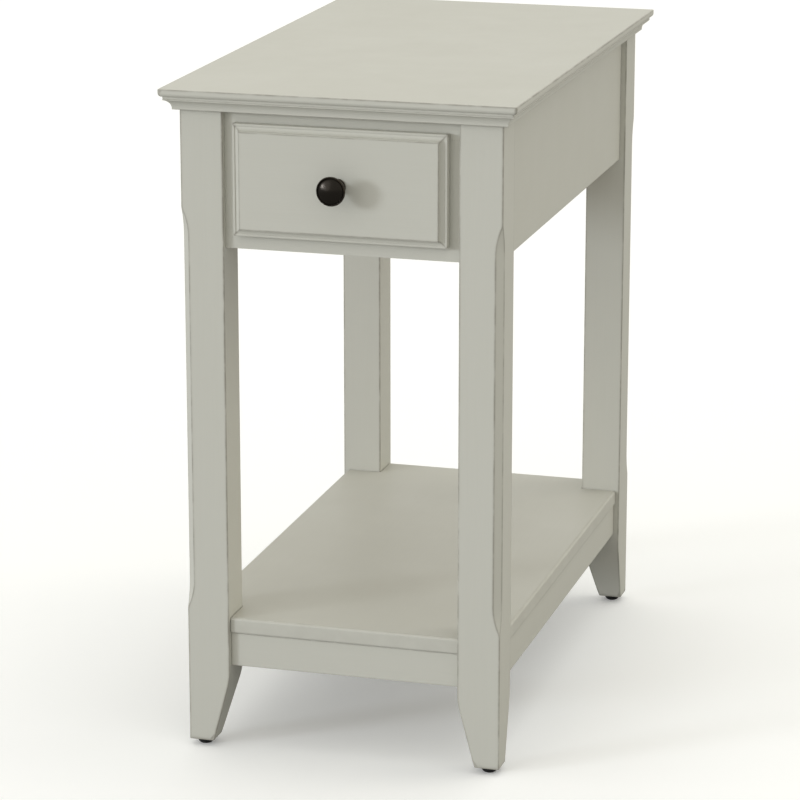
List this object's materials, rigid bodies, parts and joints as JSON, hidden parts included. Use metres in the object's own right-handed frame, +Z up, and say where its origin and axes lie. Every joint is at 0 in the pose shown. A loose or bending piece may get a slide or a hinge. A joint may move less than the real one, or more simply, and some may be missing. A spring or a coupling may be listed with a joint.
{
  "type": "side table with drawer",
  "caption": "Narrow rectangular side table: moulded top, tapered legs with stopped chamfers, one drawer on roller slides and a lower shelf.",
  "frame": {"origin": "centre of the footprint of the whole outline, knob included, on the floor", "axes": "+Z up, drawer faces -Y, +X to the right of a person facing the drawer"},
  "size_m": [0.322, 0.5748, 0.61],
  "materials": {
    "paint": "satin cream-white paint with rubbed arrises",
    "box_wood": "clear matt lacquer",
    "support_wood": "bare planed softwood",
    "dowel_wood": "bare beech",
    "slide_epoxy": "white epoxy powder coat",
    "roller_nylon": "natural nylon",
    "zinc_steel": "bright zinc",
    "knob_metal": "dark oil-rubbed bronze, polished on the rim",
    "glide_plastic": "black moulded"
  },
  "bodies": {
    "table": {"top_panel": "paint", "top_frame_front": "paint", "top_frame_back": "paint", "top_frame_left": "paint", "top_frame_right": "paint", "leg_front_left": "paint", "leg_front_right": "paint", "leg_back_left": "paint", "leg_back_right": "paint", "glides": "glide_plastic", "side_panel_left": "paint", "side_panel_right": "paint", "back_panel": "paint", "face_rail_top": "paint", "face_rail_bottom": "paint", "face_stile_left": "paint", "face_stile_right": "paint", "shelf": "paint", "shelf_rail_front": "paint", "shelf_rail_back": "paint", "shelf_rail_left": "paint", "shelf_rail_right": "paint", "top_cleat_left": "support_wood", "top_cleat_right": "support_wood", "slide_support_left": "support_wood", "slide_support_right": "support_wood", "case_dowels": "dowel_wood", "rail_dowels": "dowel_wood", "cleat_screws": "zinc_steel", "top_screws": "zinc_steel", "support_screws": "zinc_steel", "shelf_screws": "zinc_steel", "case_slide_left": "slide_epoxy", "case_slide_right": "slide_epoxy", "case_slide_screws": "zinc_steel", "case_roller_pins": "zinc_steel"},
    "drawer": {"drawer_front": "paint", "box_front": "box_wood", "box_back": "box_wood", "box_side_left": "box_wood", "box_side_right": "box_wood", "box_bottom": "box_wood", "box_dowels": "dowel_wood", "front_screws": "zinc_steel", "knob": "knob_metal", "knob_screw": "zinc_steel", "drawer_slide_left": "slide_epoxy", "drawer_slide_right": "slide_epoxy", "drawer_slide_screws": "zinc_steel", "drawer_roller_pins": "zinc_steel"},
    "case_roller_left": {"case_roller_left": "roller_nylon"},
    "case_roller_right": {"case_roller_right": "roller_nylon"},
    "drawer_roller_left": {"drawer_roller_left": "roller_nylon"},
    "drawer_roller_right": {"drawer_roller_right": "roller_nylon"}
  },
  "joints": [
    {"name": "drawer_travel", "type": "slide", "parent": "table", "child": "drawer", "axis": [0, -1, 0], "range_m": [0, 0.3]},
    {"name": "case_roller_left_spin", "type": "hinge", "parent": "table", "child": "case_roller_left", "pos_m": [-0.0855, -0.2356, 0.4997], "axis": [1, 0, 0], "continuous": true},
    {"name": "drawer_roller_left_spin", "type": "hinge", "parent": "drawer", "child": "drawer_roller_left", "pos_m": [-0.0855, 0.1281, 0.503], "axis": [1, 0, 0], "continuous": true},
    {"name": "case_roller_right_spin", "type": "hinge", "parent": "table", "child": "case_roller_right", "pos_m": [0.0855, -0.2356, 0.4997], "axis": [1, 0, 0], "continuous": true},
    {"name": "drawer_roller_right_spin", "type": "hinge", "parent": "drawer", "child": "drawer_roller_right", "pos_m": [0.0855, 0.1281, 0.503], "axis": [1, 0, 0], "continuous": true}
  ],
  "couplings": [
    {"joint": "case_roller_left_spin", "follows": "drawer_travel", "rad_per_m": 111.11},
    {"joint": "drawer_roller_left_spin", "follows": "drawer_travel", "rad_per_m": 80},
    {"joint": "case_roller_right_spin", "follows": "drawer_travel", "rad_per_m": 111.11},
    {"joint": "drawer_roller_right_spin", "follows": "drawer_travel", "rad_per_m": 80}
  ]
}
